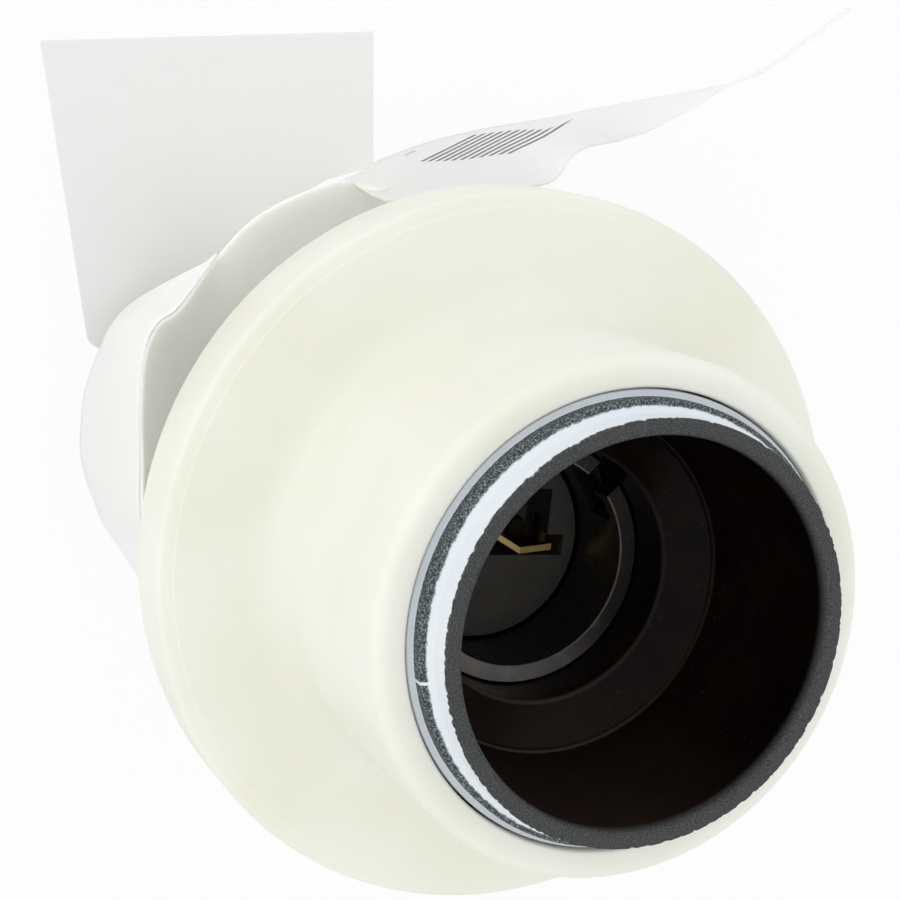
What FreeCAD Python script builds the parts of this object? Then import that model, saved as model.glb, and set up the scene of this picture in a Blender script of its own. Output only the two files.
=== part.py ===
import FreeCAD, Part
import Sketcher
import os

# A bayonet lamp holder with a deep protective skirt, a screwed shade ring and a torn paper label.
# The row frame stands on the flat end of the cap: origin at the centre of the cord entry,
# +Z along the holder's axis and out of the skirt's mouth. Everything is in millimetres.

V = FreeCAD.Vector
UP = V(0, 0, 1)
AXIS_FOOT = V(0, 0, 0)

DIMENSIONS = {
    # skirt: the tube with the guard bore, its inner ledge and the collar over the barrel
    "rim_height": 77.0,
    "skirt_radius": 20.0,
    "rim_bore": 18.4,
    "rim_round": 0.5,
    "bore_foot": 17.5,
    "ledge_height": 57.5,
    "ledge_drop": 2.6,
    "ledge_hole": 13.0,
    "ledge_thick": 2.4,
    "collar_radius": 15.4,
    "collar_foot": 46.5,
    "skirt_foot": 25.8,
    "skirt_inside": 17.6,
    "bead_drop": 3.5,
    "bead_radius": 21.1,
    "bead_flank": 0.8,
    "band_top": 72.2,
    "band_foot": 43.0,
    "band_radius": 21.7,
    # shade ring: threaded neck, flange and turned-down rim
    "ring_top": 72.6,
    "ring_bore": 21.9,
    "ring_wall": 2.6,
    "neck_radius": 24.9,
    "root_rise": 3.2,
    "root_bend": 1.1,
    "flange_height": 47.2,
    "flange_radius": 37.3,
    "flange_thick": 2.4,
    "flange_round": 1.6,
    "lip_round": 1.3,
    "ring_foot": 39.2,
    "rim_wall": 2.2,
    # bayonet barrel, its base flange and its two hooked slots
    "barrel_bore": 11.1,
    "barrel_radius": 12.8,
    "barrel_top": 49.5,
    "barrel_foot": 34.0,
    "barrel_flange": 15.4,
    "barrel_turn": 70.0,
    "flange_plate": 2.0,
    "block_bore": 11.4,
    "block_gap": 0.5,
    "slot_width": 3.4,
    "slot_depth": 6.4,
    "slot_hook": 3.2,
    "slot_rise": 1.2,
    "slot_step": 1.0,
    # the two screws that hold the barrel to the carrier
    "fixing_radius": 1.1,
    "fixing_circle": 14.0,
    "fixing_length": 13.0,
    # contact carrier: its pockets are laid out on axes turned from the row frame's
    "block_turn": 23.6,
    "carrier_radius": 15.4,
    "carrier_foot": 20.0,
    "block_radius": 10.8,
    "block_top": 39.6,
    "block_edge": 1.9,
    "pocket_side": 5.4,
    "pocket_start": 0.5,
    "pocket_end": 7.5,
    "channel_side": 0.4,
    "channel_end": 9.4,
    "chamber_width": 7.6,
    "chamber_depth": 8.0,
    # brass contacts, each riveted across its channel
    "leaf_thick": 0.7,
    "leaf_face": 1.3,
    "leaf_tip": 1.45,
    "leaf_bend": 4.2,
    "leaf_end": 8.8,
    "leaf_set": 1.5,
    "leaf_top": 40.0,
    "leaf_height": 2.8,
    "rivet_height": 36.8,
    "rivet_place": 8.2,
    "rivet_radius": 0.9,
    "rivet_seat": 1.6,
    "rivet_gap": 0.1,
    # terminals
    "terminal_side": 6.0,
    "terminal_height": 7.0,
    "terminal_gap": 1.0,
    "riser_place": 6.0,
    "riser_radius": 1.0,
    "riser_top": 35.3,
    "wire_height": 3.9,
    "wire_hole": 1.3,
    "screw_radius": 1.5,
    "screw_length": 4.4,
    # cap, cord grip and entry bush
    "cap_radius": 20.0,
    "cap_end": 16.0,
    "cap_floor": 3.0,
    "spigot_top": 33.4,
    "spigot_radius": 17.5,
    "spigot_bore": 15.7,
    "shelf_width": 1.4,
    "skirt_gap": 0.4,
    "entry_hole": 5.4,
    "bush_bore": 3.6,
    "bush_length": 6.0,
    "bush_head": 6.4,
    "post_height": 4.2,
    "post_radius": 2.2,
    "grip_pitch": 18.8,
    "grip_span": 23.2,
    "grip_width": 5.0,
    "grip_thick": 3.0,
    # paper label
    "paper_thick": 0.35,
    "tag_thick": 0.4,
}

doc = FreeCAD.newDocument("lamp_holder")
sheet = doc.addObject("Spreadsheet::Sheet", "Dims")
for row, (alias, value) in enumerate(DIMENSIONS.items(), start=1):
    sheet.set("A%d" % row, alias)
    sheet.set("B%d" % row, str(value))
    sheet.setAlias("B%d" % row, alias)
doc.recompute()


def bound(formula):
    """Write a formula in the sheet's names as an expression that other objects can hold."""
    words = formula.replace("(", " ( ").replace(")", " ) ").split()
    return " ".join("Dims." + word if word in DIMENSIONS else word for word in words)


def size(formula):
    """The present value of a formula in the sheet's names."""
    return float(sheet.evalExpression(bound(formula)))


def plane_of(body, role):
    for feature in body.Origin.OriginFeatures:
        if feature.Role == role:
            return feature
    raise ValueError(role)


def new_body(name):
    body = doc.addObject("PartDesign::Body", name)
    body.Label = name
    return body


def outline(body, name, role, corners):
    """A closed sketch of straight edges; each corner is a pair of formulas bound to the sheet."""
    sketch = body.newObject("Sketcher::SketchObject", name)
    sketch.AttachmentSupport = [(plane_of(body, role), "")]
    sketch.MapMode = "FlatFace"
    points = [V(size(across), size(along), 0) for across, along in corners]
    for here, there in zip(points, points[1:] + points[:1]):
        sketch.addGeometry(Part.LineSegment(here, there), False)
    for index in range(len(points)):
        after = (index + 1) % len(points)
        sketch.addConstraint(Sketcher.Constraint("Coincident", index, 2, after, 1))
    for index, (across, along) in enumerate(corners):
        for kind, formula, value in (("DistanceX", across, points[index].x),
                                     ("DistanceY", along, points[index].y)):
            number = sketch.addConstraint(Sketcher.Constraint(kind, -1, 1, index, 1, value))
            label = "%s%d" % (kind[-1].lower(), index)
            sketch.renameConstraint(number, label)
            sketch.setExpression("Constraints." + label, bound(formula))
    return sketch


def turn(body, name, corners):
    """Revolve an outline of (radius, height) corners about the holder's axis."""
    sketch = outline(body, name + "_profile", "XZ_Plane", corners)
    feature = body.newObject("PartDesign::Revolution", name)
    feature.Profile = sketch
    feature.ReferenceAxis = (sketch, ["V_Axis"])
    feature.Angle = 360
    doc.recompute()
    return feature


def pocket(body, name, role, corners, length):
    """Pocket an outline to one side of its plane."""
    sketch = outline(body, name + "_outline", role, corners)
    feature = body.newObject("PartDesign::Pocket", name)
    feature.Profile = sketch
    feature.setExpression("Length", bound(length))
    doc.recompute()
    return feature


def circle(body, name, radius, reach):
    """A circle sketched on the XY plane, its centre out along +X."""
    sketch = body.newObject("Sketcher::SketchObject", name)
    sketch.AttachmentSupport = [(plane_of(body, "XY_Plane"), "")]
    sketch.MapMode = "FlatFace"
    sketch.addGeometry(Part.Circle(V(size(reach), 0, 0), UP, size(radius)), False)
    for kind, label, arguments in (("DistanceX", "reach", (-1, 1, 0, 3, size(reach))),
                                   ("PointOnObject", "level", (0, 3, -1)),
                                   ("Radius", "radius", (0, size(radius)))):
        number = sketch.addConstraint(Sketcher.Constraint(kind, *arguments))
        sketch.renameConstraint(number, label)
    sketch.setExpression("Constraints.reach", bound(reach))
    sketch.setExpression("Constraints.radius", bound(radius))
    return sketch


def drill(body, name, radius, reach, depth):
    """Pocket a round hole up from the XY plane."""
    feature = body.newObject("PartDesign::Pocket", name)
    feature.Profile = circle(body, name + "_circle", radius, reach)
    feature.setExpression("Length", bound(depth))
    feature.Reversed = True
    doc.recompute()
    return feature


def round_pad(body, name, radius, reach, height):
    """Pad a round post up from the XY plane."""
    feature = body.newObject("PartDesign::Pad", name)
    feature.Profile = circle(body, name + "_circle", radius, reach)
    feature.setExpression("Length", bound(height))
    doc.recompute()
    return feature


def repeat_round(body, name, feature, count):
    """Repeat a feature about the holder's axis."""
    pattern = body.newObject("PartDesign::PolarPattern", name)
    pattern.Originals = [feature]
    pattern.Axis = (plane_of(body, "Z_Axis"), [""])
    pattern.Angle = 360
    pattern.Occurrences = count
    body.Tip = pattern
    doc.recompute()
    return pattern


def solid_piece(name, shape):
    piece = doc.addObject("Part::Feature", name)
    piece.Label = name
    piece.Shape = shape
    return piece


def rod(radius, foot, length, direction=UP):
    return Part.makeCylinder(radius, length, foot, direction)


def block(length, width, height, centre_of_foot):
    corner = centre_of_foot - V(length / 2, width / 2, 0)
    return Part.makeBox(length, width, height, corner)


# ---- skirt: one moulding, with the guard bore, the ledge and the thread for the ring ----

def make_skirt():
    body = new_body("skirt")
    bead_top = "rim_height - bead_drop"
    ledge_foot = "ledge_height - ledge_drop"
    turn(body, "skirt_shell", [
        ("rim_bore", "rim_height - rim_round"),
        ("rim_bore + rim_round", "rim_height"),
        ("skirt_radius", "rim_height"),
        ("skirt_radius", bead_top + " + bead_flank"),
        ("bead_radius", bead_top),
        ("bead_radius", "band_top"),
        ("band_radius", "band_top"),
        ("band_radius", "band_foot"),
        ("skirt_radius", "band_foot"),
        ("skirt_radius", "skirt_foot"),
        ("skirt_inside", "skirt_foot"),
        ("skirt_inside", ledge_foot + " - ledge_thick"),
        ("collar_radius", ledge_foot + " - ledge_thick"),
        ("collar_radius", "collar_foot"),
        ("ledge_hole", "collar_foot"),
        ("ledge_hole", ledge_foot),
        ("bore_foot", "ledge_height"),
    ])


# ---- shade ring: cream moulding that screws over the skirt and clamps the shade ----

def make_shade_ring():
    body = new_body("shade_ring")
    under = "flange_height - flange_thick"
    turn(body, "ring_shell", [
        ("ring_bore", "ring_top"),
        ("neck_radius - lip_round", "ring_top"),
        ("neck_radius", "ring_top - lip_round"),
        ("neck_radius", "flange_height + root_rise"),
        ("neck_radius + root_bend", "flange_height + root_bend"),
        ("neck_radius + root_rise", "flange_height"),
        ("flange_radius - flange_round", "flange_height"),
        ("flange_radius", "flange_height - flange_round"),
        ("flange_radius", "ring_foot"),
        ("flange_radius - rim_wall", "ring_foot"),
        ("flange_radius - rim_wall", under),
        ("ring_bore + ring_wall", under),
        ("ring_bore + ring_wall", "ring_foot"),
        ("ring_bore", "ring_foot"),
    ])


# ---- bayonet barrel: guides the lamp cap, with two hooked slots for its pins ----

def make_barrel():
    body = new_body("bayonet_barrel")
    turn(body, "barrel_shell", [
        ("barrel_bore", "barrel_top"),
        ("barrel_radius", "barrel_top"),
        ("barrel_radius", "barrel_foot + flange_plate"),
        ("barrel_flange", "barrel_foot + flange_plate"),
        ("barrel_flange", "barrel_foot"),
        ("block_bore", "barrel_foot"),
        ("block_bore", "block_top + block_gap"),
        ("barrel_bore", "block_top + block_gap"),
    ])
    floor = "barrel_top - slot_depth"
    hook_top = floor + " + slot_width"
    before = body.Shape.Volume
    slot = pocket(body, "pin_slot", "XZ_Plane", [
        ("0 - slot_width / 2", "barrel_top + slot_step"),
        ("0 - slot_width / 2", floor),
        ("slot_width / 2 + slot_hook", floor),
        ("slot_width / 2 + slot_hook", hook_top + " + slot_rise"),
        ("slot_hook - slot_width / 2 + slot_step", hook_top + " + slot_rise"),
        ("slot_hook - slot_width / 2 + slot_step", hook_top),
        ("slot_width / 2", hook_top),
        ("slot_width / 2", "barrel_top + slot_step"),
    ], "barrel_flange")
    repeat_round(body, "pin_slots", slot, 2)
    hole = drill(body, "fixing_hole", "fixing_radius", "fixing_circle", "barrel_foot + 2 * flange_plate")
    repeat_round(body, "fixing_holes", hole, 2)
    if not body.Shape.Volume < before:
        raise ValueError("the pin slots cut nothing")
    body.Placement.Rotation.Axis = UP
    body.setExpression(".Placement.Rotation.Angle", bound("barrel_turn"))


# ---- contact carrier: moulded insulator, its raised block cut by two contact pockets ----

SIDES = (("left", 0), ("right", 180))


def turned(shape, formula, extra=0):
    """A copy of a shape turned about the holder's axis by a formula's degrees."""
    copy = shape.copy()
    copy.rotate(AXIS_FOOT, UP, size(formula) + extra)
    return copy


def box_between(low, high):
    """A box between two corners, each a triple of formulas."""
    foot = V(*[size(part) for part in low])
    reach = V(*[size(part) for part in high]) - foot
    return Part.makeBox(reach.x, reach.y, reach.z, foot)


def fixing_screw(side):
    """One screw through the barrel's flange into the carrier, flush with the flange."""
    top = size("barrel_foot + flange_plate")
    foot = V(size("fixing_circle"), 0, top - size("fixing_length"))
    return turned(rod(size("fixing_radius"), foot, size("fixing_length")), "barrel_turn", side)


def carrier_hollows():
    """What one side of the carrier lacks: pocket, channel, rivet hole, riser hole and chamber."""
    foot = size("carrier_foot")
    hollows = [
        box_between(("0 - pocket_side", "pocket_start", "barrel_foot"),
                    ("block_edge", "pocket_end", "rim_height")),
        box_between(("0 - channel_side", "pocket_end", "barrel_foot"),
                    ("block_edge", "channel_end", "rim_height")),
        box_between(("0 - chamber_width / 2", "rivet_place - chamber_width / 2", "0"),
                    ("chamber_width / 2", "rivet_place + chamber_width / 2",
                     "carrier_foot + chamber_depth")),
        rod(size("wire_hole"), V(0, size("riser_place"), foot), size("barrel_foot") - foot),
    ]
    seat = V(size("0 - channel_side - rivet_seat - rivet_gap"), size("rivet_place"), size("rivet_height"))
    run = size("channel_side + block_edge + 2 * rivet_seat + 2 * rivet_gap")
    hollows.append(rod(size("rivet_radius + rivet_gap"), seat, run, V(1, 0, 0)))
    return hollows


def make_carrier():
    foot = size("carrier_foot")
    body = rod(size("carrier_radius"), V(0, 0, foot), size("barrel_foot") - foot)
    raised = rod(size("block_radius"), V(0, 0, foot), size("block_top") - foot)
    shape = body.fuse(raised)
    for name, side in SIDES:
        for hollow in carrier_hollows():
            shape = shape.cut(turned(hollow, "block_turn", side))
        shape = shape.cut(fixing_screw(side))
    return solid_piece("contact_carrier", shape.removeSplitter())


def leaf_strip():
    """The strip seen from above, standing on its edge, with its tip bent towards the axis."""
    half = V(size("leaf_thick / 2"), 0, 0)
    face_x = size("leaf_face")
    path = [V(face_x - size("leaf_set"), size("leaf_tip"), 0),
            V(face_x, size("leaf_bend"), 0),
            V(face_x, size("leaf_end"), 0)]
    corners = [point - half for point in path] + [point + half for point in reversed(path)]
    plan = Part.Face(Part.makePolygon(corners + corners[:1]))
    return plan.extrude(UP * size("rim_height"))


def leaf_side():
    """The strip seen from the side: level along its tip, then down to the rivet."""
    low = size("rivet_height - leaf_height / 2")
    high = size("rivet_height + leaf_height / 2")
    top = size("leaf_top")
    tip = size("leaf_tip")
    bend = size("leaf_bend")
    end = size("leaf_end")
    drop = size("leaf_height")
    corners = [(tip, top - drop), (tip, top), (bend, top), (end, high), (end, low),
               (size("rivet_place - leaf_height / 2"), low), (bend, top - drop)]
    points = [V(-size("block_radius"), along, height) for along, height in corners]
    face = Part.Face(Part.makePolygon(points + points[:1]))
    return face.extrude(V(size("2 * block_radius"), 0, 0))


def make_contact(name, side):
    """A brass strip riveted across its channel, free to be pressed down at its tip."""
    start = V(size("0 - channel_side - rivet_seat"), size("rivet_place"), size("rivet_height"))
    run = size("channel_side + block_edge + 2 * rivet_seat")
    rivet = rod(size("rivet_radius"), start, run, V(1, 0, 0))
    strip = leaf_strip().common(leaf_side())
    return solid_piece(name, turned(strip.fuse(rivet), "block_turn", side))


def make_terminal(name, side):
    """A block with a wire hole, a screw hole from below and a riser up to the contact."""
    foot = V(0, size("rivet_place"), size("carrier_foot + terminal_gap"))
    edge = size("terminal_side")
    shape = block(edge, edge, size("terminal_height"), foot)
    riser_foot = V(0, size("riser_place"), foot.z)
    shape = shape.fuse(rod(size("riser_radius"), riser_foot, size("riser_top") - foot.z))
    wire = V(-edge, size("rivet_place"), foot.z + size("wire_height"))
    shape = shape.cut(rod(size("wire_hole"), wire, 2 * edge, V(1, 0, 0)))
    shape = shape.cut(rod(size("screw_radius"), foot, size("wire_height")))
    return solid_piece(name, turned(shape, "block_turn", side))


def make_terminal_screws():
    """One screw up into each terminal, its end just short of the wire."""
    top = size("carrier_foot + terminal_gap + wire_height - wire_hole")
    foot = V(0, size("rivet_place"), top - size("screw_length"))
    screw = rod(size("screw_radius"), foot, size("screw_length"))
    screws = [turned(screw, "block_turn", side) for name, side in SIDES]
    return solid_piece("terminal_screws", Part.makeCompound(screws))


def make_carrier_screws():
    """Two screws that hold the barrel's flange to the carrier."""
    screws = [fixing_screw(side) for name, side in SIDES]
    return solid_piece("carrier_screws", Part.makeCompound(screws))


# ---- cap: cup with a spigot that screws into the skirt, the cord entry and the grip's posts ----

def make_cap():
    body = new_body("cap")
    turn(body, "cap_shell", [
        ("entry_hole", "0"),
        ("cap_end", "0"),
        ("cap_radius", "cap_radius - cap_end"),
        ("cap_radius", "skirt_foot - skirt_gap"),
        ("spigot_radius", "skirt_foot - skirt_gap"),
        ("spigot_radius", "spigot_top"),
        ("spigot_bore", "spigot_top"),
        ("spigot_bore", "carrier_foot"),
        ("spigot_bore - shelf_width", "carrier_foot"),
        ("spigot_bore - shelf_width", "cap_floor"),
        ("entry_hole", "cap_floor"),
    ])
    post = round_pad(body, "grip_post", "post_radius", "grip_pitch / 2", "cap_floor + post_height")
    repeat_round(body, "grip_posts", post, 2)


def make_bush():
    body = new_body("entry_bush")
    turn(body, "bush_shell", [
        ("bush_bore", "0"),
        ("entry_hole", "0"),
        ("entry_hole", "cap_floor"),
        ("bush_head", "cap_floor"),
        ("bush_head", "bush_length"),
        ("bush_bore", "bush_length"),
    ])


def make_grip_bar():
    """A saddle across two posts, hollowed on its underside where it clamps the cord."""
    foot = V(0, 0, size("cap_floor + post_height"))
    shape = block(size("grip_span"), size("grip_width"), size("grip_thick"), foot)
    cord = foot - V(0, size("grip_width"), size("grip_thick / 2"))
    shape = shape.cut(rod(size("bush_bore"), cord, size("2 * grip_width"), V(0, 1, 0)))
    return solid_piece("cord_grip_bar", shape)


# ---- paper label: a torn strip, its folded-back flap and a flat tag ----

# stations along the strip: front edge, then rear edge, from the end stuck to the cap
# round behind the flange and out to the torn tip
STRIP = [
    (V(16.45, -11.5, 24), V(16.45, -11.5, 10)),
    (V(20.5, -17.5, 29), V(16.6, -13.9, 9)),
    (V(25.0, -22.5, 33), V(16.7, -15.0, 8.5)),
    (V(21.5, -30.7, 35), V(13.8, -19.7, 6.5)),
    (V(10.1, -37.7, 36), V(6.3, -23.7, 6)),
    (V(-1.4, -41.2, 37), V(-0.9, -25.0, 6)),
    (V(-12.8, -39.4, 37), V(-7.9, -24.3, 6.5)),
    (V(-20.6, -35.7, 37.5), V(-14.0, -24.2, 7)),
    (V(-26.2, -30.2, 38), V(-21.0, -24.1, 7.5)),
    (V(-29.6, -23.1, 38), V(-28.0, -21.9, 8)),
    (V(-34.5, -15.5, 38), V(-35.5, -15.8, 8)),
    (V(-40.9, -9.2, 38), V(-42.8, -7.6, 8)),
    (V(-46.5, -3.0, 37.5), V(-49.3, 0.6, 8)),
    (V(-53.0, 4.5, 30), V(-55.0, 7.5, 8)),
    (V(-60.0, 12.8, 18), V(-60.5, 14.5, 8)),
    (V(-68.0, 20.2, 15), V(-68.0, 21.6, 9)),
    (V(-77.0, 25.0, 16), V(-77.2, 25.4, 13)),
]
FLAP = [
    (V(24.4, -21.3, 32), V(16.4, -14.2, 9)),
    (V(24.5, -29.5, 34.5), V(19.6, -23.4, 8)),
    (V(18.6, -34.9, 35.6), V(17.0, -30.0, 8)),
    (V(10.6, -39.2, 36.6), V(11.0, -34.4, 8)),
    (V(-1.4, -42.3, 37), V(-1.2, -36.8, 9)),
    (V(-10.6, -40.8, 36), V(-8.6, -35.6, 13.5)),
    (V(-15.0, -38.9, 33), V(-13.6, -33.4, 17.5)),
]


SHEET_SECTIONS = 20


def edge_points(points):
    """Even steps along the smooth curve through an edge's stations."""
    curve = Part.BSplineCurve()
    curve.interpolate(points)
    span = curve.LastParameter - curve.FirstParameter
    steps = [curve.FirstParameter + span * n / SHEET_SECTIONS for n in range(SHEET_SECTIONS + 1)]
    return [curve.value(step) for step in steps]


def sheet_sections(stations, thick):
    """The sheet's thin cross sections, each four corners, from one end to the other."""
    front = edge_points([station[0] for station in stations])
    rear = edge_points([station[1] for station in stations])
    middle = [(one + two) * 0.5 for one, two in zip(front, rear)]
    sections = []
    for index, (one, two) in enumerate(zip(front, rear)):
        ahead = middle[min(index + 1, SHEET_SECTIONS)] - middle[max(index - 1, 0)]
        normal = ahead.cross(two - one)
        normal.normalize()
        half = normal * (thick / 2)
        sections.append([one + half, two + half, two - half, one - half])
    return sections


def flat(*corners):
    return Part.Face(Part.makePolygon(list(corners) + [corners[0]]))


def panel(here, there, mirrored):
    """Two triangles between an edge of one section and the same edge of the next."""
    (one, two), (far_one, far_two) = here, there
    if mirrored:
        return [flat(one, two, far_one), flat(two, far_two, far_one)]
    return [flat(one, two, far_two), flat(one, far_two, far_one)]


def paper(name, stations, thick):
    """A sheet of even thickness; both its sides are creased along the same diagonals."""
    sections = sheet_sections(stations, thick)
    faces = [flat(*reversed(sections[0])), flat(*sections[-1])]
    for (a, b, c, d), (far_a, far_b, far_c, far_d) in zip(sections, sections[1:]):
        faces += panel((a, b), (far_a, far_b), False)
        faces += panel((b, c), (far_b, far_c), False)
        faces += panel((c, d), (far_c, far_d), True)
        faces += panel((d, a), (far_d, far_a), False)
    solid = Part.makeSolid(Part.makeShell(faces))
    if solid.Volume < 0:
        solid.reverse()
    return solid_piece(name, solid)


TAG_CORNER = V(-24.0, -61.5, 22.7)
TAG_ACROSS = V(-0.490, 0.800, 0.346)
TAG_DOWN = V(0.654, 0.600, -0.460)
TAG_OUTLINE = [(0, 0), (33.4, 0), (33.0, 16.2), (28.0, 17.7), (24.6, 19.9), (20.6, 24.4),
               (18.4, 27.8), (16.0, 34.6), (8.0, 40.0), (1.8, 40.0), (0, 38.2)]


def make_tag():
    points = [TAG_CORNER + TAG_ACROSS * across + TAG_DOWN * down for across, down in TAG_OUTLINE]
    across = points[1] - points[0]
    normal = across.cross(TAG_DOWN)
    normal.normalize()
    across.normalize()
    down = normal.cross(across)
    points = [TAG_CORNER + across * a + down * b for a, b in TAG_OUTLINE]
    return solid_piece("label_tag", flat(*points).extrude(normal * size("tag_thick")))


make_skirt()
make_shade_ring()
make_barrel()
make_carrier()
for word, half_turn in SIDES:
    make_contact("contact_" + word, half_turn)
    make_terminal("terminal_" + word, half_turn)
make_terminal_screws()
make_carrier_screws()
make_cap()
make_bush()
make_grip_bar()
paper("label_strip", STRIP, size("paper_thick"))
paper("label_flap", FLAP, size("paper_thick"))
make_tag()
doc.recompute()

NODES = [thing for thing in doc.Objects
         if thing.TypeId in ("PartDesign::Body", "Part::Feature")]
for thing in doc.Objects:
    if "Invalid" in thing.State or "Error" in thing.State:
        raise ValueError("%s failed: %s" % (thing.Name, thing.State))
for node in NODES:
    if node.Shape.isNull() or not node.Shape.isValid():
        raise ValueError(node.Label + " has no valid shape")

os.makedirs("parts", exist_ok=True)
for node in NODES:
    node.Shape.exportStep("parts/%s.step" % node.Label)
    print(node.Label, round(node.Shape.Volume, 1))
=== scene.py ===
import bpy
import bmesh
import math
from mathutils import Matrix, Vector, noise


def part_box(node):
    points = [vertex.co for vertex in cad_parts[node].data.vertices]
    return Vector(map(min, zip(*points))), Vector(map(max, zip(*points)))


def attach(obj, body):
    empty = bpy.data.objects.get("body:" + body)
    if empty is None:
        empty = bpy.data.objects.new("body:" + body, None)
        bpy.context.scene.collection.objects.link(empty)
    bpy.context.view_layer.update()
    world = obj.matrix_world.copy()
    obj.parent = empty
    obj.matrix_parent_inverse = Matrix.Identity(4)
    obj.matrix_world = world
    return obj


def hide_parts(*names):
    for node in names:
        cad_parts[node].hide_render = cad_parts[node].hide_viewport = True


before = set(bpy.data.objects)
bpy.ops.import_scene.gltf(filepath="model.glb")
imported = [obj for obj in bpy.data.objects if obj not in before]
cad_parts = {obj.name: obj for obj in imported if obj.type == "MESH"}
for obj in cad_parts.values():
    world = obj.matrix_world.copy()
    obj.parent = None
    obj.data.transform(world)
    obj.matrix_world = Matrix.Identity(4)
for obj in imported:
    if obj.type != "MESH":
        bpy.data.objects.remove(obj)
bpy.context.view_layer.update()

# ---- Cap ----
# The cap is a cup that closes the holder's back and carries the cord. It is a phenolic moulding
# under a coat of white paint, and its spigot screws up inside the skirt.


def mm(length):
    """Millimetres, as a number or a vector, in the frame's metres."""
    return length / 1000


class Value:
    """One number that varies over a surface; written in plain maths, it adds its Math nodes."""

    def __init__(self, finish, socket):
        self.finish = finish
        self.socket = socket

    def maths(self, operation, *others):
        return self.finish.add("Math", {"operation": operation}, dict(enumerate((self, *others))))

    def __add__(self, other):
        return self.maths("ADD", other)

    __radd__ = __add__

    def __sub__(self, other):
        return self.maths("SUBTRACT", other)

    def __rsub__(self, other):
        return self.finish.add("Math", {"operation": "SUBTRACT"}, {0: other, 1: self})

    def __mul__(self, other):
        return self.maths("MULTIPLY", other)

    __rmul__ = __mul__

    def __abs__(self):
        return self.maths("ABSOLUTE")


class Finish:
    """A procedural surface: its shader, and the nodes that vary it."""

    def __init__(self, name, **plain):
        self.material = bpy.data.materials.new(name)
        self.material.use_nodes = True
        self.tree = self.material.node_tree
        self.shader = self.tree.nodes["Principled BSDF"]
        for socket, value in plain.items():
            self.shader.inputs[socket.replace("_", " ")].default_value = value

    def add(self, kind, settings=None, sockets=None, output=0):
        """Any node: its kind, its settings, then the values or links of its sockets."""
        node = self.tree.nodes.new("ShaderNode" + kind)
        for setting, value in (settings or {}).items():
            setattr(node, setting, value)
        for key, value in (sockets or {}).items():
            self.feed(node.inputs[key], value)
        return Value(self, node.outputs[output])

    def feed(self, socket, value):
        if isinstance(value, Value):
            self.tree.links.new(value.socket, socket)
        else:
            socket.default_value = value

    def place(self):
        """Where on the object a point is, in metres, as a vector."""
        return self.add("TexCoord", output="Object")

    def parts(self, vector):
        """The X, Y and Z parts of a vector."""
        node = self.add("SeparateXYZ", sockets={0: vector}).socket.node
        return [Value(self, output) for output in node.outputs]

    def point(self):
        """Where on the object a point is, as three numbers in millimetres."""
        return [part * 1000 for part in self.parts(self.place())]

    def height(self):
        """How high on the object a point is, in millimetres."""
        return self.parts(self.place())[2] * 1000

    def noise(self, per_mm, detail=3.0, rough=0.5, stretch=(1, 1, 1)):
        """Noise whose grains are about 1 / per_mm millimetres across."""
        where = self.add("Mapping", sockets={"Vector": self.place(), "Scale": stretch})
        sockets = {"Vector": where, "Scale": per_mm * 1000, "Detail": detail, "Roughness": rough}
        return self.add("TexNoise", sockets=sockets)

    def ramp(self, value, low, high):
        """0 below low, 1 above high, smooth between."""
        settings = {"interpolation_type": "SMOOTHSTEP"}
        return self.add("MapRange", settings, {0: value, 1: low, 2: high, 3: 0.0, 4: 1.0})

    def blend(self, factor, first, second):
        """A colour between two colours."""
        sockets = {0: factor, 6: first, 7: second}
        return self.add("Mix", {"data_type": "RGBA"}, sockets, output=2)

    def bump(self, height, depth, strength):
        """Relief of the given depth in millimetres."""
        sockets = {"Height": height, "Distance": mm(depth), "Strength": strength}
        self.feed(self.shader.inputs["Normal"], self.add("Bump", sockets=sockets))

    def colour(self, value):
        self.feed(self.shader.inputs["Base Color"], value)

    def roughness(self, value):
        self.feed(self.shader.inputs["Roughness"], value)


def painted_white(name, tint=(0.79, 0.82, 0.85, 1.0)):
    """White stoved paint on a moulding, with faint orange peel and a few darker specks."""
    finish = Finish(name, IOR=1.5, Coat_Weight=0.15, Coat_Roughness=0.2)
    soft = finish.noise(0.12, detail=2.0)
    peel = finish.noise(1.6, detail=2.0)
    specks = finish.ramp(finish.noise(2.2, detail=1.0), 0.74, 0.80)
    warm = (tint[0] * 0.93, tint[1] * 0.93, tint[2] * 0.91, 1.0)
    base = finish.blend(finish.ramp(soft, 0.3, 0.7), tint, warm)
    finish.colour(finish.blend(specks * 0.5, base, (0.35, 0.36, 0.37, 1.0)))
    finish.roughness(0.34 + 0.12 * soft)
    finish.bump(peel, 0.03, 0.5)
    return finish.material


def round_corners(outline, steps=6):
    """An outline of (radius, height, fillet) corners, each fillet turned into its arc points."""
    points = []
    count = len(outline)
    for index, (across, along, fillet) in enumerate(outline):
        here = Vector((across, along))
        before = Vector(outline[index - 1][:2]) - here
        after = Vector(outline[(index + 1) % count][:2]) - here
        turn = before.angle(after)
        if fillet <= 0 or turn > math.radians(176):
            points.append((across, along))
            continue
        reach = fillet / math.tan(turn / 2)
        reach = min(reach, 0.48 * before.length, 0.48 * after.length)
        first = here + before.normalized() * reach
        last = here + after.normalized() * reach
        for step in range(steps + 1):
            t = step / steps
            point = first.lerp(here, t).lerp(here.lerp(last, t), t)
            points.append((point.x, point.y))
    return points


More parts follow.
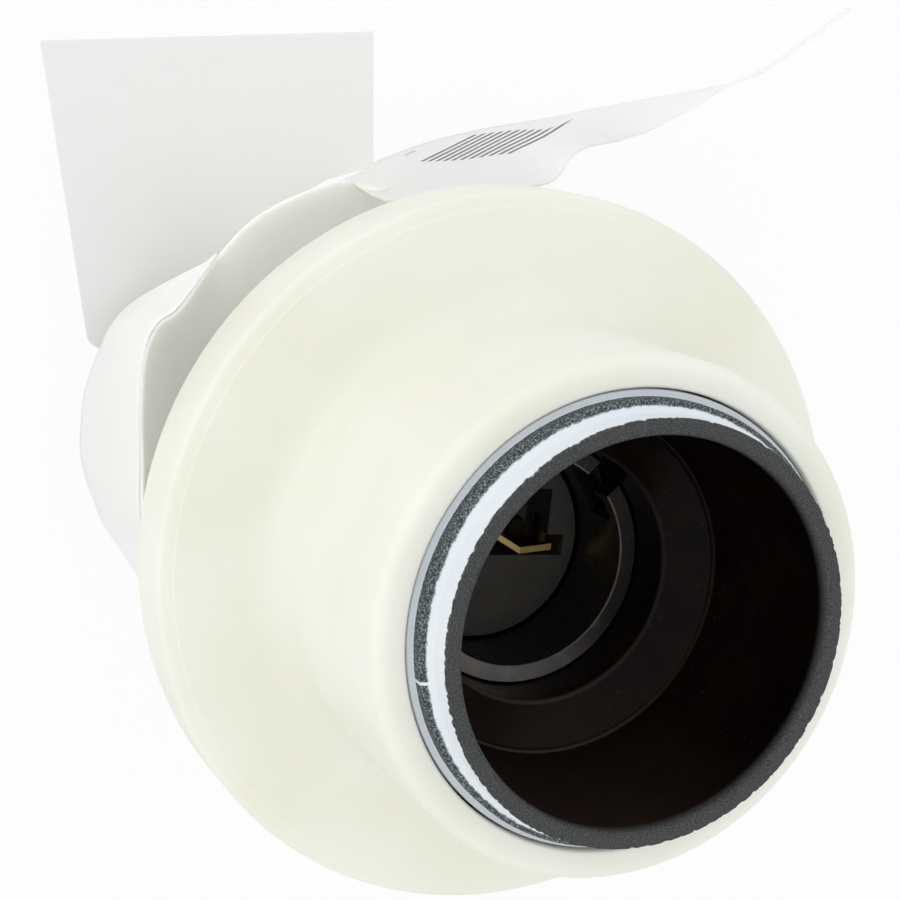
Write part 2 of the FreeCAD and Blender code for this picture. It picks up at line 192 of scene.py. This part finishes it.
def fresh_object(name, bm, materials, body, crease=30):
    """Finish a mesh: clean normals, smooth faces, sharp creases, and its place in the frame."""
    bmesh.ops.recalc_face_normals(bm, faces=bm.faces)
    for face in bm.faces:
        face.smooth = True
    for edge in bm.edges:
        if len(edge.link_faces) == 2 and edge.calc_face_angle(0) > math.radians(crease):
            edge.smooth = False
    mesh = bpy.data.meshes.new(name)
    bm.to_mesh(mesh)
    bm.free()
    piece = bpy.data.objects.new(name, mesh)
    bpy.context.scene.collection.objects.link(piece)
    for material in materials:
        mesh.materials.append(material)
    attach(piece, body)
    return piece


def spin(bm, points, steps, shape=None):
    """Sweep a closed (radius, height) outline in millimetres about +Z."""
    rings = []
    for step in range(steps):
        angle = 2 * math.pi * step / steps
        ring = []
        for index, (across, along) in enumerate(points):
            if shape:
                across, along = shape(index, angle, across, along)
            ring.append(bm.verts.new((mm(across) * math.cos(angle),
                                      mm(across) * math.sin(angle), mm(along))))
        rings.append(ring)
    for step, ring in enumerate(rings):
        beside = rings[(step + 1) % steps]
        for index in range(len(points)):
            after = (index + 1) % len(points)
            bm.faces.new((ring[index], beside[index], beside[after], ring[after]))


def top_of(node):
    """A node's highest point, in millimetres."""
    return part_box(node)[1].z * 1000


def reach_of(node):
    """A round node's outer radius, in millimetres."""
    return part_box(node)[1].x * 1000


def add_post(bm, place, radius, foot, top):
    """A plain round post along +Z, its lower end sunk in the floor it stands on."""
    rise = Matrix.Translation(Vector((place[0], place[1], (foot + top) / 2)) / 1000)
    bmesh.ops.create_cone(bm, cap_ends=True, segments=48, radius1=mm(radius), radius2=mm(radius),
                          depth=mm(top - foot), matrix=rise)


def make_cap():
    """The cup with its cord entry, its spigot and the two posts of the cord grip."""
    radius = reach_of("cap")
    top = top_of("cap")
    end, shoulder, joint, spigot = 16.0, 4.0, 25.4, 17.5
    floor, cavity, entry = 3.0, 14.3, 5.4
    post_out, post_radius, post_top = 9.4, 2.2, 7.2
    outline = round_corners([
        (entry, 0.0, 0.4), (end, 0.0, 1.6), (radius, shoulder, 2.2), (radius, joint, 0.4),
        (spigot, joint, 0), (spigot, top, 0.3), (15.7, top, 0.3), (15.7, 20.0, 0),
        (cavity, 20.0, 0.2), (cavity, floor, 1.0), (entry, floor, 0.3),
    ])
    bm = bmesh.new()
    spin(bm, outline, 288)
    for side in (-post_out, post_out):
        add_post(bm, (side, 0.0), post_radius, floor - 0.5, post_top)
    cap = fresh_object("cap_shell", bm, [painted_white("cap_paint")], "root", 40)
    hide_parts("cap")


make_cap()


# ---- Entry bush and cord grip ----
# A plain dark bush lines the hole that the cord would pass. Above it a moulded saddle clamps
# the cord; both sit hidden inside the cap, so their solids stay as they are.


def dull_black(name, colour, rough):
    """A plain dark moulding with a fine, even grain."""
    finish = Finish(name, IOR=1.5)
    grain = finish.noise(0.8, detail=4.0)
    darker = [part * 0.6 for part in colour[:3]] + [1.0]
    finish.colour(finish.blend(grain, colour, darker))
    finish.roughness(rough + 0.15 * grain)
    finish.bump(grain, 0.03, 0.4)
    return finish.material


def dress(node, material):
    """Give a CAD node, which keeps its shape, its finish."""
    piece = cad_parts[node]
    piece.data.materials.clear()
    piece.data.materials.append(material)


dress("entry_bush", dull_black("bush_rubber_finish", (0.03, 0.03, 0.03, 1.0), 0.6))


# ---- Contact carrier ----
# The insulator that holds the live pieces: a moulded phenolic disc whose upper side carries
# a raised block with two open pockets. Its skin is duller than the bore's, and so is the
# grip bar's, which is moulded in the same material.


moulded = dull_black("carrier_finish", (0.078, 0.072, 0.065, 1.0), 0.42)
dress("contact_carrier", moulded)
dress("cord_grip_bar", moulded)


# ---- Terminals, screws and contacts ----
# Milled brass terminals sit in the carrier and clamp the wires under zinc-plated screws. Two
# contacts cut from rolled brass strip stand on edge in the carrier's channels.


NO_SHADE_HEIGHT = 1000.0


def metal(name, colour, rough, scratch, shade_from=NO_SHADE_HEIGHT):
    """Bright metal; above a height in millimetres it is painted dark, as if in shade."""
    finish = Finish(name, Metallic=1.0)
    lines = finish.noise(1.2, detail=5.0, stretch=(1, 1, scratch))
    stain = finish.noise(0.3, detail=3.0)
    dulled = (colour[0] * 0.72, colour[1] * 0.66, colour[2] * 0.55, 1.0)
    clean = finish.blend(finish.ramp(stain, 0.35, 0.75), colour, dulled)
    shaded = finish.ramp(finish.height(), shade_from, shade_from + 1.0)
    finish.colour(finish.blend(shaded, clean, (0.030, 0.022, 0.012, 1.0)))
    finish.roughness(rough + 0.2 * lines)
    finish.bump(lines, 0.02, 0.4)
    return finish.material


def contact_brass():
    """Rolled strip: its cut top edge is bright; its faces are painted dark, as if in shade."""
    finish = Finish("contact_brass_finish", Metallic=1.0)
    upward = finish.parts(finish.add("TexCoord", output="Normal"))[2]
    lines = finish.noise(1.2, detail=5.0, stretch=(1, 1, 0.1))
    slope_foot = top_of("contact_left") - 2.2
    crest = finish.ramp(finish.height(), slope_foot, slope_foot + 0.2)
    top = finish.ramp(upward, 0.6, 0.8) * crest
    bright = finish.blend(lines, (1.0, 0.80, 0.32, 1.0), (0.92, 0.66, 0.22, 1.0))
    finish.colour(finish.blend(top, (0.045, 0.032, 0.014, 1.0), bright))
    finish.feed(finish.shader.inputs["Metallic"], 1 - 0.65 * top)
    finish.roughness(0.5 - 0.15 * top + 0.15 * lines)
    finish.bump(lines, 0.02, 0.4)
    return finish.material


brass = contact_brass()
for contact in ("contact_left", "contact_right"):
    dress(contact, brass)
# Above this height the terminals' risers are painted dark, as painted shade down in the bore.
RISER_SHADE_FROM = 33.5
milled = metal("terminal_brass_finish", (0.72, 0.52, 0.22, 1.0), 0.3, 6.0, RISER_SHADE_FROM)
for terminal in ("terminal_left", "terminal_right"):
    dress(terminal, milled)
plated = metal("screw_zinc_finish", (0.62, 0.63, 0.65, 1.0), 0.3, 4.0)
for screws in ("terminal_screws", "carrier_screws"):
    dress(screws, plated)


# ---- Bayonet barrel ----
# A glossy phenolic sleeve that guides the lamp's cap, with two hooked slots for the cap's pins.
# It is moulded in one with its base flange, which two screws hold to the carrier. Its end face
# is painted paler toward one side; that is light, not wear.


BARREL_BORE = 11.1


def radius_of(x, y):
    """How far a point lies from the holder's axis, in the unit of x and y."""
    return (x * x + y * y).maths("SQRT")


def lit_side(x, y):
    """How far a point lies toward the side that the dark finishes paint as lit, in millimetres."""
    return 0.96 * x - 0.28 * y


def barrel_finish():
    """Glossy phenolic; its end face and the face's inner edge are painted as lit."""
    finish = Finish("barrel_finish", IOR=1.55, Specular_IOR_Level=0.3)
    x, y, z = finish.point()
    flow = finish.noise(0.5, detail=4.0)
    side = finish.ramp(lit_side(x, y) + 3.0 * flow, -2.0, 13.0)
    end = top_of("bayonet_barrel")
    on_end = finish.ramp(z, end - 0.2, end - 0.05)
    face = on_end * (0.08 + 0.92 * side)
    edge = on_end * finish.ramp(radius_of(x, y), BARREL_BORE + 0.25, BARREL_BORE + 0.1) * 0.8
    body = finish.blend(flow, (0.007, 0.0055, 0.005, 1.0), (0.018, 0.013, 0.011, 1.0))
    lit = finish.blend(flow, (0.23, 0.215, 0.20, 1.0), (0.30, 0.285, 0.27, 1.0))
    finish.colour(finish.blend(face.maths("MAXIMUM", edge), body, lit))
    finish.roughness(0.16 + 0.2 * flow)
    finish.bump(flow, 0.03, 0.3)
    return finish.material


dress("bayonet_barrel", barrel_finish())


# ---- Skirt ----
# One deep phenolic tube: ground and speckled at its rim, painted white outside, with a bead
# behind the rim whose paint is worn through, and a glossy dark bore that tapers to a ledge.

RIM = top_of("skirt")
RIM_RADIUS = 20.0
BEAD_RADIUS = 21.1
BAND_RADIUS = 21.7
BAND_TOP = 72.2
LEDGE = 57.5
LEDGE_DROP = 2.6
LEDGE_HOLE = 13.0
BORE_FOOT = 17.5
FLASH_SIDE = (0.799, 0.602)


def skirt_paint():
    """White paint outside, worn off along the bead; bare ground rim; dark bore.

    The bore's gloss is held low; painted light on one side, painted shade on the upper wall and
    painted highlights at the ledge's edges are in its colour.
    """
    finish = Finish("skirt_paint", IOR=1.5, Specular_IOR_Level=0.06)
    x, y, z = finish.point()
    radius = radius_of(x, y)
    ragged = finish.noise(1.3, detail=4.0, rough=0.75) - 0.5
    grain = finish.noise(7.0, detail=4.0, rough=0.8)
    salt = finish.noise(5.5, detail=4.0, rough=0.75)
    soft = finish.noise(0.15, detail=2.0)
    flow = finish.noise(0.25, detail=4.0, rough=0.6)

    outside = finish.ramp(radius, RIM_RADIUS - 0.25, RIM_RADIUS - 0.2)
    below_rim = finish.ramp(z + 0.9 * ragged, RIM - 0.42, RIM - 0.22)
    on_bead = (finish.ramp(radius + 0.5 * ragged, RIM_RADIUS + 0.45, RIM_RADIUS + 0.65)
               * finish.ramp(BAND_RADIUS - radius, 0.2, 0.3)
               * finish.ramp(z - 0.3 * ragged, BAND_TOP + 0.05, BAND_TOP + 0.2))
    off_flash = abs(FLASH_SIDE[0] * x + FLASH_SIDE[1] * y)
    flash = finish.ramp(off_flash, 0.2, 0.1) * finish.ramp(x, 8.0, 9.0)
    on_bead = on_bead * (1 - flash)
    painted = outside * (1 - below_rim) * (1 - on_bead)
    bare = finish.ramp(z, RIM - 1.7, RIM - 0.3).maths("MAXIMUM", outside)

    white = finish.blend(soft, (0.74, 0.80, 0.87, 1.0), (0.82, 0.85, 0.87, 1.0))
    ground = finish.blend(finish.ramp(grain, 0.42, 0.64), (0.044, 0.045, 0.046, 1.0),
                          (0.120, 0.123, 0.125, 1.0))
    worn = finish.blend(finish.ramp(salt, 0.47, 0.62), (0.045, 0.052, 0.055, 1.0),
                        (0.30, 0.34, 0.35, 1.0))
    ground = finish.blend(on_bead * outside, ground, worn)
    specks = finish.ramp(finish.noise(3.0, detail=0.0), 0.78, 0.82)
    bore = finish.blend(finish.ramp(flow, 0.35, 0.7), (0.0055, 0.0035, 0.003, 1.0),
                        (0.012, 0.006, 0.0048, 1.0))
    bore = finish.blend(specks * 0.15, bore, (0.12, 0.12, 0.11, 1.0))
    # Painted light: the bore's colour is paler toward one fixed side.
    lower = finish.ramp(lit_side(x, y), -4.0, 16.0)
    # Painted highlights: thin pale rings at the ledge's corner with the bore and at the lip of its
    # hole.
    corner = (finish.ramp(abs(z - (LEDGE + 0.25)), 0.3, 0.1)
              * finish.ramp(radius, BORE_FOOT - 0.4, BORE_FOOT - 0.2))
    throat = LEDGE - LEDGE_DROP
    lip_highlight = (finish.ramp(abs(radius - (LEDGE_HOLE + 0.2)), 0.3, 0.1)
           * finish.ramp(z, throat - 0.3, throat - 0.1))
    edge = corner + lip_highlight * 0.6
    bore = finish.blend(lower * 0.7, bore, (0.022, 0.0155, 0.012, 1.0))
    bore = finish.blend(edge * (0.25 + 0.75 * lower), bore, (0.085, 0.078, 0.07, 1.0))
    # Painted shade: the upper bore wall is darker away from the lit side.
    upper_wall_shade = finish.ramp(z, LEDGE + 2.5, RIM - 1.0) * (1 - lower)
    bore = finish.blend(upper_wall_shade * 0.8, bore, (0.0015, 0.0006, 0.0005, 1.0))
    finish.colour(finish.blend(painted, finish.blend(bare, bore, ground), white))
    finish.roughness(0.16 + 0.08 * flow + 0.45 * bare - 0.22 * painted)
    finish.bump(grain * bare * (1 - painted) + 0.1 * painted * soft, 0.08, 0.8)
    return finish.material


def make_skirt():
    """The tube in one turn, from its rim and bead outside to its bore, ledge and foot inside."""
    crest = 73.5
    throat = LEDGE - LEDGE_DROP
    under = throat - 2.4
    outline = round_corners([
        (18.4, RIM, 0.7), (RIM_RADIUS, RIM, 0.3), (RIM_RADIUS, crest + 0.8, 0.5),
        (BEAD_RADIUS, crest, 0.35), (BEAD_RADIUS, BAND_TOP, 0), (BAND_RADIUS, BAND_TOP, 0.25),
        (BAND_RADIUS, 43.0, 0.3), (RIM_RADIUS, 43.0, 0), (RIM_RADIUS, 25.8, 0.3), (17.6, 25.8, 0),
        (17.6, under, 0.5), (15.4, under, 0.5), (15.4, 46.5, 0.3), (LEDGE_HOLE, 46.5, 0.2),
        (LEDGE_HOLE, throat, 0.3), (BORE_FOOT, LEDGE, 0.9),
    ])
    chipped = [index for index, (across, along) in enumerate(outline)
               if along > RIM - 0.6 and across > RIM_RADIUS - 0.4]

    def ground_rim(index, angle, across, along):
        """The ground rim's outer edge is slightly chipped."""
        if index in chipped:
            place = Vector((math.cos(angle), math.sin(angle), 0.1)) * 46
            chip = max(0.0, noise.noise(place)) * 0.22
            return across - chip, along - chip * 0.4
        return across, along

    bm = bmesh.new()
    spin(bm, outline, 512, ground_rim)
    skirt = fresh_object("skirt_shell", bm, [skirt_paint()], "skirt", 50)
    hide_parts("skirt")


make_skirt()


# ---- Shade ring ----
# A cream thermoplastic moulding that screws over the skirt: a straight neck, a flange that
# the shade rests on, and a turned-down rim. It has a satin skin with slight sink marks.


def cream_plastic():
    """A satin cream skin that lets light in a little way, with slow sink marks."""
    finish = Finish("ring_cream_finish", IOR=1.46, Subsurface_Weight=0.25,
                    Subsurface_Scale=0.002, Subsurface_Radius=(1.0, 0.9, 0.6))
    soft = finish.noise(0.06, detail=2.0)
    grain = finish.noise(2.0, detail=3.0)
    wave = finish.noise(0.09, detail=1.0)
    cream = (0.845, 0.850, 0.745, 1.0)
    pale = (0.885, 0.893, 0.815, 1.0)
    finish.colour(finish.blend(finish.ramp(soft, 0.3, 0.7), cream, pale))
    finish.roughness(0.36 + 0.14 * grain)
    finish.bump(wave + 0.02 * grain, 0.35, 0.35)
    return finish.material


def make_shade_ring():
    """The ring in one turn: neck, flange and turned-down rim."""
    top = top_of("shade_ring")
    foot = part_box("shade_ring")[0].z * 1000
    flange = reach_of("shade_ring")
    bore, neck, face, under = 21.9, 24.9, 47.2, 44.8
    outline = round_corners([
        (bore, top, 0.3), (neck, top, 1.6), (neck, face, 4.2),
        (flange - 1.6, face, 0.3), (flange - 1.4, face - 0.1, 0.1), (flange, face - 0.25, 1.5),
        (flange, foot, 0.4), (flange - 2.2, foot, 0.4), (flange - 2.2, under, 0.8),
        (bore + 2.6, under, 0.8), (bore + 2.6, foot, 0.3), (bore, foot, 0.3),
    ], 8)
    bm = bmesh.new()
    spin(bm, outline, 288)
    ring = fresh_object("ring_moulding", bm, [cream_plastic()], "shade_ring", 50)
    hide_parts("shade_ring")


make_shade_ring()


# ---- Paper label ----
# A torn strip of white label paper is stuck to the cap at one end, curls round behind the
# flange and runs out to a thin torn tip; part of it is folded back over itself, and a flat
# tag with a rounded corner stands out behind.


ACROSS_BARS = (0.2116, 0.2619, 0.0606, 10.6)
ALONG_BARS = (0.0076, 0.7516, 0.5873, 35.52)
BAR_GAPS = 10


def printed_bars(finish, x, y, z):
    """How much ink lies at a point: a slanted row of thin bars, and one short dash before it."""
    across = ACROSS_BARS[0] * x + ACROSS_BARS[1] * y + ACROSS_BARS[2] * z + ACROSS_BARS[3]
    along = ALONG_BARS[0] * z - ALONG_BARS[1] * x - ALONG_BARS[2] * y - ALONG_BARS[3]
    bar = finish.ramp(abs((across * BAR_GAPS + 0.5).maths("FRACT") - 0.5), 0.31, 0.20)
    row = (finish.ramp(across, -0.06, -0.05) * finish.ramp(across, 1.06, 1.05)
           * finish.ramp(along, 0.0, 0.03) * finish.ramp(along, 1.03, 1.0))
    dash = (finish.ramp(abs(across + 0.41), 0.04, 0.02)
            * finish.ramp(abs(along - 0.34), 0.13, 0.11))
    return (bar * row * 0.95 + dash * 0.5) * finish.ramp(z, 25.0, 24.6)


def label_paper(name, glow, white=0.9, stripes=False):
    """Thin white paper, warmer at the strip's curl, where a warm tint is painted shade with the
    cream ring's bounced light.

    A faint glow, weaker along the tail and low down, stands in for light through the sheet.
    """
    finish = Finish(name, IOR=1.4, Subsurface_Weight=0.7, Subsurface_Scale=0.003,
                    Subsurface_Radius=(1.0, 1.0, 0.95), Specular_IOR_Level=0.25,
                    Emission_Strength=glow)
    fibre = finish.noise(1.4, detail=5.0, rough=0.65)
    soft = finish.noise(0.05, detail=2.0)
    dull = (white - 0.03, white - 0.03, white - 0.035, 1.0)
    clean = (white + 0.02, white + 0.02, white + 0.015, 1.0)
    shade = finish.blend(finish.ramp(soft, 0.3, 0.7), dull, clean)
    x, y, z = finish.point()
    if stripes:
        # Painted shade: a warm tint on the curl, as of light bounced off the cream ring.
        warm = finish.ramp(x, -33.0, -24.0) * 0.8
        shade = finish.blend(warm, shade, (0.90, 0.885, 0.80, 1.0))
        shade = finish.blend(printed_bars(finish, x, y, z), shade, (0.05, 0.05, 0.05, 1.0))
    finish.colour(shade)
    near = finish.ramp(x, -36.0, -25.0) * finish.ramp(z, -12.0, 38.0)
    finish.feed(finish.shader.inputs["Emission Color"],
                finish.blend(near, (0.4, 0.4, 0.4, 1.0), shade))
    finish.roughness(0.62 + 0.1 * fibre)
    finish.bump(fibre, 0.05, 0.35)
    return finish.material


def arc(centre, radius, start, end, steps):
    """Points of an arc in a flat plane; angles are in degrees from its first axis."""
    points = []
    for step in range(steps + 1):
        angle = math.radians(start + (end - start) * step / steps)
        points.append((centre[0] + radius * math.cos(angle), centre[1] + radius * math.sin(angle)))
    return points


def smooth_edge(points, steps):
    """Even steps along a smooth curve through an edge's stations (a Catmull-Rom curve)."""
    result = []
    spans = len(points) - 1
    for step in range(steps + 1):
        where = spans * step / steps
        index = min(int(where), spans - 1)
        t = where - index
        p1, p2 = points[index], points[index + 1]
        p0 = points[max(index - 1, 0)]
        p3 = points[min(index + 2, spans)]
        result.append(0.5 * (2 * p1 + (p2 - p0) * t + (2 * p0 - 5 * p1 + 4 * p2 - p3) * t * t
                             + (3 * p1 - p0 - 3 * p2 + p3) * t * t * t))
    return result


def rule_sheet(bm, stations, torn, along, across=30):
    """A sheet ruled from a torn front edge to a clean rear edge."""
    fronts = smooth_edge([Vector(station[0]) for station in stations], along)
    rears = smooth_edge([Vector(station[1]) for station in stations], along)
    rows = []
    for front, rear in zip(fronts, rears):
        ruling = rear - front
        rough = noise.noise(Vector((front.x, front.y, 0)) * 0.24)
        rough += 0.45 * noise.noise(Vector((front.x, front.y, 3)) * 1.1)
        bite = max(0.3 + rough, 0.0) * torn / max(ruling.length, 1.0)
        bite *= min(1.0, ruling.length / 8)
        rows.append([bm.verts.new(mm(front + ruling * (bite + (1 - bite) * n / across)))
                     for n in range(across + 1)])
    for row, beside in zip(rows, rows[1:]):
        for n in range(across):
            bm.faces.new((row[n], beside[n], beside[n + 1], row[n + 1]))


SHEET_THICK = 0.22
GLOW = 0.13


def make_paper(name, sheets, node, material):
    """One piece of paper from its ruled sheets, each with its tear and its count of steps."""
    bm = bmesh.new()
    for stations, torn, along in sheets:
        rule_sheet(bm, stations, torn, along)
    piece = fresh_object(name, bm, [material], "root", 60)
    thicken = piece.modifiers.new("paper", "SOLIDIFY")
    thicken.thickness = mm(SHEET_THICK)
    thicken.offset = 0.0
    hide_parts(node)


# stations along each sheet, in millimetres: a point of the front edge, then of the rear edge
CURL = [
    ((16.45, -11.5, 24), (16.45, -11.5, 10)), ((20.5, -17.5, 29), (16.6, -13.9, 9)),
    ((22.4, -22.4, 33), (16.7, -15.0, 8.5)), ((16.7, -29.6, 35), (13.8, -19.7, 6.5)),
    ((12.8, -33.6, 36), (10.0, -21.8, 6)), ((8.5, -36.1, 36), (6.3, -23.6, 6)),
    ((4.0, -38.8, 36.5), (2.6, -24.3, 6)), ((-0.8, -41.2, 37), (-1.0, -24.6, 6)),
    ((-4.2, -41.5, 37), (-4.5, -23.9, 6)), ((-6.8, -40.3, 37), (-6.5, -23.3, 6)),
    ((-13.1, -39.3, 37), (-9.1, -22.5, 6)), ((-19.0, -37.4, 37.5), (-13.5, -20.5, 6)),
    ((-24.7, -32.8, 37.8), (-18.0, -17.5, 6)), ((-26.0, -30.6, 37.5), (-20.8, -14.9, 6)),
    ((-28.0, -24.0, 29), (-23.5, -11.0, 6)), ((-30.5, -18.5, 22), (-27.0, -7.0, 6)),
]
TAIL = [
    ((-26.0, -30.9, 38), (-27.3, -22.9, 10)), ((-26.0, -26.6, 38), (-30.0, -20.3, 9.5)),
    ((-28.9, -21.3, 38), (-32.8, -18.1, 8)), ((-33.1, -15.4, 38), (-37.5, -13.7, 8)),
    ((-36.3, -11.3, 38), (-41.8, -8.8, 8)), ((-39.9, -9.6, 36), (-45.0, -4.6, 8)),
    ((-42.8, -6.3, 32), (-48.2, -0.4, 8)), ((-46.5, -0.1, 26), (-51.0, 3.0, 8)),
    ((-51.2, 6.1, 20), (-55.5, 8.7, 8)), ((-61.0, 13.9, 17), (-62.5, 17.3, 9)),
    ((-65.4, 17.9, 16), (-66.6, 19.7, 12)), ((-76.9, 24.2, 15.5), (-77.1, 24.4, 14.5)),
]
FLAP = [
    ((22.4, -21.6, 32), (17.0, -14.9, 9)), ((21.4, -27.3, 34.3), (19.8, -25.2, 8)),
    ((17.0, -30.9, 35.2), (17.0, -30.0, 8)), ((13.0, -34.1, 36), (13.3, -33.5, 8)),
    ((8.6, -36.45, 36), (10.2, -35.2, 8)), ((4.1, -39.1, 36.5), (6.0, -36.9, 8.5)),
    ((-0.9, -41.5, 37), (1.1, -37.7, 9)), ((-4.3, -41.8, 37), (-2.5, -38.2, 11)),
    ((-7.0, -40.6, 37), (-6.1, -37.6, 14)), ((-13.2, -39.6, 37), (-12.4, -38.9, 34)),
]
make_paper("strip_paper", [(CURL, 0.3, 240), (TAIL, 0.8, 200)], "label_strip",
           label_paper("strip_finish", GLOW, stripes=True))
make_paper("flap_paper", [(FLAP, 0.3, 160)], "label_flap", label_paper("flap_finish", GLOW))


def make_tag():
    """A flat rectangular tag, its lower corner rounded, cut off where it meets the strip."""
    corner = Vector((-24.0, -61.5, 22.7))
    across = Vector((-0.490, 0.800, 0.346)).normalized()
    down = Vector((0.654, 0.600, -0.460))
    normal = across.cross(down).normalized()
    down = normal.cross(across)
    outline = [(0, 0), (33.4, 0), (33.0, 16.2), (28.0, 17.7), (24.6, 19.9), (20.6, 24.4),
               (18.4, 27.8), (16.0, 34.6), (8.0, 40.0)]
    round_off, lift = 1.8, 0.1
    outline += arc((round_off, 40.0 - round_off), round_off, 90, 180, 6)
    bm = bmesh.new()
    flat = [corner + across * a + down * b + normal * lift for a, b in outline]
    lower = [bm.verts.new(mm(point)) for point in flat]
    upper = [bm.verts.new(mm(point + normal * SHEET_THICK)) for point in flat]
    bm.faces.new(lower)
    bm.faces.new(list(reversed(upper)))
    for index in range(len(outline)):
        after = (index + 1) % len(outline)
        bm.faces.new((lower[index], lower[after], upper[after], upper[index]))
    # The tag is the same paper as the strip, set darker (0.80) as painted shade.
    paper = label_paper("tag_shaded_finish", 0.0, white=0.80)
    tag = fresh_object("tag_paper", bm, [paper], "root")
    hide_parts("label_tag")


make_tag()


# ---- Floor, light and camera ----
# A pale studio: one white floor that keeps the holder's shadow, one large soft lamp, and an
# even white world. The camera looks into the skirt's mouth from above.


def make_floor():
    """White where it is looked at, plain pale where it only lights the holder."""
    bm = bmesh.new()
    bmesh.ops.create_grid(bm, x_segments=1, y_segments=1, size=3.0)
    mesh = bpy.data.meshes.new("floor")
    bm.to_mesh(mesh)
    bm.free()
    floor = bpy.data.objects.new("floor", mesh)
    bpy.context.scene.collection.objects.link(floor)
    finish = Finish("floor_finish", Roughness=0.9, Specular_IOR_Level=0.0)
    finish.shader.inputs["Base Color"].default_value = (0.9, 0.9, 0.9, 1.0)
    glow = finish.add("Emission", sockets={"Color": (1, 1, 1, 1), "Strength": 1.0})
    path = finish.add("LightPath")
    outputs = path.socket.node.outputs
    seen = Value(finish, outputs["Is Camera Ray"]).maths(
        "MAXIMUM", Value(finish, outputs["Is Glossy Ray"]))
    seen = seen.maths("MAXIMUM", Value(finish, outputs["Is Transmission Ray"]))
    shader = Value(finish, finish.shader.outputs[0])
    both = finish.add("MixShader", sockets={0: seen * 0.9, 1: shader, 2: glow})
    finish.feed(finish.tree.nodes["Material Output"].inputs["Surface"], both)
    mesh.materials.append(finish.material)


def lamp(name, place, size, power, aim=(0, 0, 0.04)):
    """A round soft lamp turned toward the middle of the holder."""
    data = bpy.data.lights.new(name, "AREA")
    data.shape = "DISK"
    data.size = size
    data.energy = power
    light = bpy.data.objects.new(name, data)
    light.location = place
    light.rotation_euler = (Vector(aim) - Vector(place)).to_track_quat("-Z", "Y").to_euler()
    bpy.context.scene.collection.objects.link(light)


def make_camera():
    """The camera looks down at 64 degrees, rolled so that the holder's mouth points down right."""
    data = bpy.data.cameras.new("camera")
    data.sensor_width = 36.0
    data.lens = 80.0
    camera = bpy.data.objects.new("camera", data)
    right = Vector((-0.460, 0.799, 0.388)).normalized()
    forward = Vector((0.0, 0.437, -0.900)).normalized()
    right = (right - forward * right.dot(forward)).normalized()
    up = right.cross(forward)
    turn = Matrix((right, up, -forward)).transposed().to_4x4()
    place = Vector((-0.0066, -0.0993, 0.2271))
    camera.matrix_world = Matrix.Translation(place) @ turn
    bpy.context.scene.collection.objects.link(camera)
    bpy.context.scene.camera = camera


make_floor()
lamp("key", (-0.05, -0.85, 0.35), 0.9, 1.5)
make_camera()

WORLD_LEVEL = 0.93
world = bpy.data.worlds.new("studio")
world.use_nodes = True
world.node_tree.nodes["Background"].inputs["Color"].default_value = (1, 1, 1, 1)
world.node_tree.nodes["Background"].inputs["Strength"].default_value = WORLD_LEVEL
bpy.context.scene.world = world
bpy.context.scene.view_settings.view_transform = "Standard"
